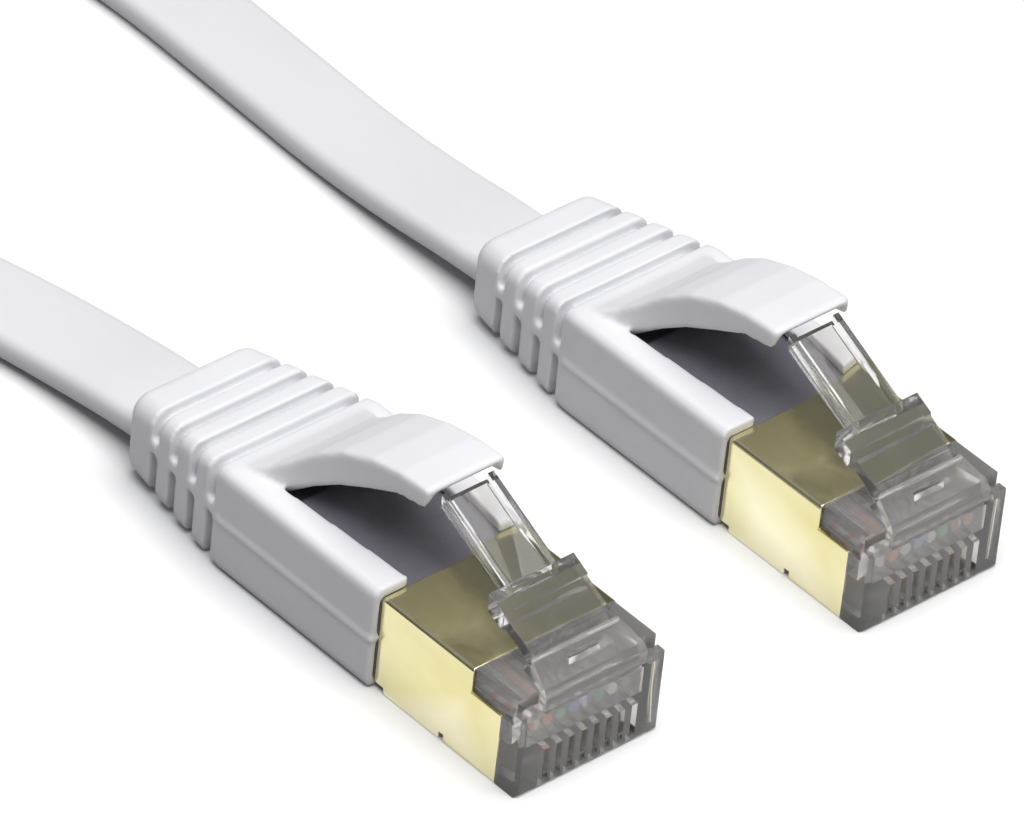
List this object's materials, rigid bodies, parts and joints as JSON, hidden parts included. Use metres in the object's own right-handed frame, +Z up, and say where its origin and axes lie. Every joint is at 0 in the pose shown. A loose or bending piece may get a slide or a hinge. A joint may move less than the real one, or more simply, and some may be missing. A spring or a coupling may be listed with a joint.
{
  "type": "ethernet patch cable",
  "caption": "Flat white shielded patch cable with a clear, gold-sleeved modular plug in a ribbed boot at each end, its spare length coiled and tied.",
  "frame": {"origin": "on the surface the cable lies on, at the centre of the two plugs' common box", "axes": "+X out of the plugs' noses, +Y from plug A to plug B, +Z up, towards the latches"},
  "size_m": [0.1536, 0.082, 0.0142],
  "materials": {
    "clear_polycarbonate": "clear, slightly smoky",
    "gold_plate": "pale gold plating, satin",
    "contact_gold": "bright gold plating",
    "white_boot": "soft moulded PVC, low gloss",
    "dark_grey_mould": "dark grey mould, matt",
    "white_jacket": "flat extruded PVC, satin",
    "tie_fabric": "light grey hook-and-loop strap",
    "pair_foil": "thin foil",
    "wire_white_orange": "white with an orange stripe",
    "wire_orange": "orange insulation",
    "wire_white_green": "white with a green stripe",
    "wire_blue": "blue insulation",
    "wire_white_blue": "white with a blue stripe",
    "wire_green": "green insulation",
    "wire_white_brown": "white with a brown stripe",
    "wire_brown": "brown insulation"
  },
  "bodies": {
    "root": {"plug_a_housing": "clear_polycarbonate", "plug_a_shield": "gold_plate", "plug_a_load_bar": "clear_polycarbonate", "plug_a_inner_mould": "dark_grey_mould", "plug_a_boot": "white_boot", "plug_a_contact_1": "contact_gold", "plug_a_wire_1": "wire_white_orange", "plug_a_contact_2": "contact_gold", "plug_a_wire_2": "wire_orange", "plug_a_contact_3": "contact_gold", "plug_a_wire_3": "wire_white_green", "plug_a_contact_4": "contact_gold", "plug_a_wire_4": "wire_blue", "plug_a_contact_5": "contact_gold", "plug_a_wire_5": "wire_white_blue", "plug_a_contact_6": "contact_gold", "plug_a_wire_6": "wire_green", "plug_a_contact_7": "contact_gold", "plug_a_wire_7": "wire_white_brown", "plug_a_contact_8": "contact_gold", "plug_a_wire_8": "wire_brown", "plug_a_pair_screen_1": "pair_foil", "plug_a_pair_screen_2": "pair_foil", "plug_a_pair_screen_3": "pair_foil", "plug_a_pair_screen_4": "pair_foil", "plug_b_housing": "clear_polycarbonate", "plug_b_shield": "gold_plate", "plug_b_load_bar": "clear_polycarbonate", "plug_b_inner_mould": "dark_grey_mould", "plug_b_boot": "white_boot", "plug_b_contact_1": "contact_gold", "plug_b_wire_1": "wire_white_orange", "plug_b_contact_2": "contact_gold", "plug_b_wire_2": "wire_orange", "plug_b_contact_3": "contact_gold", "plug_b_wire_3": "wire_white_green", "plug_b_contact_4": "contact_gold", "plug_b_wire_4": "wire_blue", "plug_b_contact_5": "contact_gold", "plug_b_wire_5": "wire_white_blue", "plug_b_contact_6": "contact_gold", "plug_b_wire_6": "wire_green", "plug_b_contact_7": "contact_gold", "plug_b_wire_7": "wire_white_brown", "plug_b_contact_8": "contact_gold", "plug_b_wire_8": "wire_brown", "plug_b_pair_screen_1": "pair_foil", "plug_b_pair_screen_2": "pair_foil", "plug_b_pair_screen_3": "pair_foil", "plug_b_pair_screen_4": "pair_foil", "cable_lead_a": "white_jacket", "cable_coil": "white_jacket", "cable_lead_b": "white_jacket", "cable_tie": "tie_fabric"},
    "plug_a_latch": {"plug_a_latch": "clear_polycarbonate"},
    "plug_a_guard": {"plug_a_latch_guard": "white_boot"},
    "plug_b_latch": {"plug_b_latch": "clear_polycarbonate"},
    "plug_b_guard": {"plug_b_latch_guard": "white_boot"}
  },
  "joints": [
    {"name": "plug_a_guard_press", "type": "hinge", "parent": "root", "child": "plug_a_guard", "pos_m": [-0.00777, -0.01405, 0.00685], "axis": [0, 1, 0], "range_deg": [0, 10.5], "stiffness_Nm_per_rad": 0.004},
    {"name": "plug_a_latch_flex", "type": "hinge", "parent": "root", "child": "plug_a_latch", "pos_m": [0.01597, -0.01405, 0.00815], "axis": [0, 1, 0], "range_deg": [-15.75, 0], "stiffness_Nm_per_rad": 0.004},
    {"name": "plug_b_guard_press", "type": "hinge", "parent": "root", "child": "plug_b_guard", "pos_m": [-0.00722, 0.01405, 0.00685], "axis": [0, 1, 0], "range_deg": [0, 10.5], "stiffness_Nm_per_rad": 0.004},
    {"name": "plug_b_latch_flex", "type": "hinge", "parent": "root", "child": "plug_b_latch", "pos_m": [0.01653, 0.01405, 0.00815], "axis": [0, 1, 0], "range_deg": [-15.75, 0], "stiffness_Nm_per_rad": 0.004}
  ],
  "couplings": [
    {"joint": "plug_a_latch_flex", "follows": "plug_a_guard_press", "ratio": -1.5},
    {"joint": "plug_b_latch_flex", "follows": "plug_b_guard_press", "ratio": -1.5}
  ]
}
